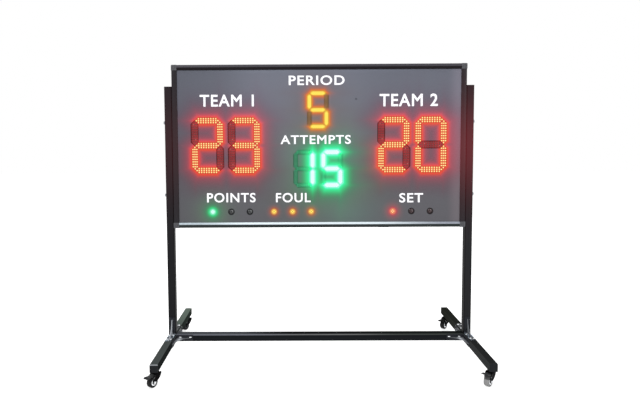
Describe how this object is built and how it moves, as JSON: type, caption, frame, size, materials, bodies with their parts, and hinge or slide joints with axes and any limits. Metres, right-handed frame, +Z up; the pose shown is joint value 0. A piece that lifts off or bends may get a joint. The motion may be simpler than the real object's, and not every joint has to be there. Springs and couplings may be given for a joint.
{
  "type": "electronic scoreboard",
  "caption": "Wide electronic scoreboard with lit segment digits and count lamps in a slim frame, held between two uprights on a rolling floor stand with braked castors.",
  "frame": {"origin": "on the floor, midway between the two feet and under the middle plane of the uprights", "axes": "+Z up, -Y is the side with the digits, +X to the right as the digits are read"},
  "size_m": [1.4471, 0.7061, 1.354],
  "materials": {
    "frame": "satin anodised",
    "corner": "moulded satin",
    "panel": "fine matt",
    "rear": "fine matt",
    "red_module": "matt with clear diodes",
    "yellow_module": "matt with clear diodes",
    "green_module": "matt with clear diodes",
    "green_lamp": "matt with clear diodes",
    "amber_lamp": "matt with clear diodes",
    "red_lamp": "matt with clear diodes",
    "circuit": "solder mask",
    "supply_case": "zinc plated",
    "inlet": "moulded satin",
    "tube": "satin powder coat",
    "plug": "moulded satin",
    "bolt": "zinc plated",
    "brace": "cast satin",
    "stem": "zinc plated",
    "fork": "black coat",
    "wheel": "matt tread",
    "pedal": "moulded satin"
  },
  "bodies": {
    "stand": {"frame_rail_top": "frame", "frame_rail_bottom": "frame", "frame_rail_left": "frame", "frame_rail_right": "frame", "corner_block_top_left": "corner", "corner_block_top_right": "corner", "corner_block_bottom_left": "corner", "corner_block_bottom_right": "corner", "front_panel": "panel", "rear_panel": "rear", "board_bolt_left_lower": "bolt", "board_bolt_left_upper": "bolt", "board_bolt_right_lower": "bolt", "board_bolt_right_upper": "bolt", "brace_bar_left_front": "brace", "brace_bar_left_rear": "brace", "brace_bar_right_front": "brace", "brace_bar_right_rear": "brace", "brace_upright_left_front": "brace", "brace_upright_left_rear": "brace", "brace_upright_right_front": "brace", "brace_upright_right_rear": "brace", "castor_stem_front_left": "stem", "castor_stem_front_right": "stem", "castor_stem_rear_left": "stem", "castor_stem_rear_right": "stem", "control_board": "circuit", "cross_bar": "tube", "digit_left_tens": "red_module", "digit_left_units": "red_module", "digit_lower_tens": "green_module", "digit_lower_units": "green_module", "digit_right_tens": "red_module", "digit_right_units": "red_module", "digit_upper": "yellow_module", "foot_left": "tube", "foot_plug_left_front": "plug", "foot_plug_left_rear": "plug", "foot_plug_right_front": "plug", "foot_plug_right_rear": "plug", "foot_right": "tube", "lamp_strip_left": "green_lamp", "lamp_strip_middle": "amber_lamp", "lamp_strip_right": "red_lamp", "power_inlet": "inlet", "power_supply": "supply_case", "upright_left": "tube", "upright_right": "tube"},
    "fork_front_left": {"castor_fork_front_left": "fork"},
    "wheel_front_left": {"castor_wheel_front_left": "wheel"},
    "pedal_front_left": {"castor_pedal_front_left": "pedal"},
    "fork_front_right": {"castor_fork_front_right": "fork"},
    "wheel_front_right": {"castor_wheel_front_right": "wheel"},
    "pedal_front_right": {"castor_pedal_front_right": "pedal"},
    "fork_rear_left": {"castor_fork_rear_left": "fork"},
    "wheel_rear_left": {"castor_wheel_rear_left": "wheel"},
    "pedal_rear_left": {"castor_pedal_rear_left": "pedal"},
    "fork_rear_right": {"castor_fork_rear_right": "fork"},
    "wheel_rear_right": {"castor_wheel_rear_right": "wheel"},
    "pedal_rear_right": {"castor_pedal_rear_right": "pedal"}
  },
  "joints": [
    {"name": "swivel_front_left", "type": "hinge", "parent": "stand", "child": "fork_front_left", "pos_m": [-0.6913, -0.304, 0.055], "axis": [0, 0, 1], "continuous": true},
    {"name": "roll_front_left", "type": "hinge", "parent": "fork_front_left", "child": "wheel_front_left", "pos_m": [-0.7019, -0.32096, 0.022], "axis": [0.848, -0.5299, 0], "continuous": true},
    {"name": "brake_front_left", "type": "hinge", "parent": "fork_front_left", "child": "pedal_front_left", "pos_m": [-0.70031, -0.31842, 0.049], "axis": [0.848, -0.5299, 0], "range_deg": [-17, 0]},
    {"name": "swivel_front_right", "type": "hinge", "parent": "stand", "child": "fork_front_right", "pos_m": [0.6913, -0.304, 0.055], "axis": [0, 0, 1], "continuous": true},
    {"name": "roll_front_right", "type": "hinge", "parent": "fork_front_right", "child": "wheel_front_right", "pos_m": [0.67667, -0.31764, 0.022], "axis": [0.682, -0.7314, 0], "continuous": true},
    {"name": "brake_front_right", "type": "hinge", "parent": "fork_front_right", "child": "pedal_front_right", "pos_m": [0.67887, -0.31559, 0.049], "axis": [0.682, -0.7314, 0], "range_deg": [0, 17]},
    {"name": "swivel_rear_left", "type": "hinge", "parent": "stand", "child": "fork_rear_left", "pos_m": [-0.6913, 0.318, 0.055], "axis": [0, 0, 1], "continuous": true},
    {"name": "roll_rear_left", "type": "hinge", "parent": "fork_rear_left", "child": "wheel_rear_left", "pos_m": [-0.7013, 0.30068, 0.022], "axis": [0.866, -0.5, 0], "continuous": true},
    {"name": "brake_rear_left", "type": "hinge", "parent": "fork_rear_left", "child": "pedal_rear_left", "pos_m": [-0.6998, 0.30328, 0.049], "axis": [0.866, -0.5, 0], "range_deg": [-17, 0]},
    {"name": "swivel_rear_right", "type": "hinge", "parent": "stand", "child": "fork_rear_right", "pos_m": [0.6913, 0.318, 0.055], "axis": [0, 0, 1], "continuous": true},
    {"name": "roll_rear_right", "type": "hinge", "parent": "fork_rear_right", "child": "wheel_rear_right", "pos_m": [0.67691, 0.30411, 0.022], "axis": [0.6947, -0.7193, 0], "continuous": true},
    {"name": "brake_rear_right", "type": "hinge", "parent": "fork_rear_right", "child": "pedal_rear_right", "pos_m": [0.67907, 0.30619, 0.049], "axis": [0.6947, -0.7193, 0], "range_deg": [-17, 0]}
  ]
}
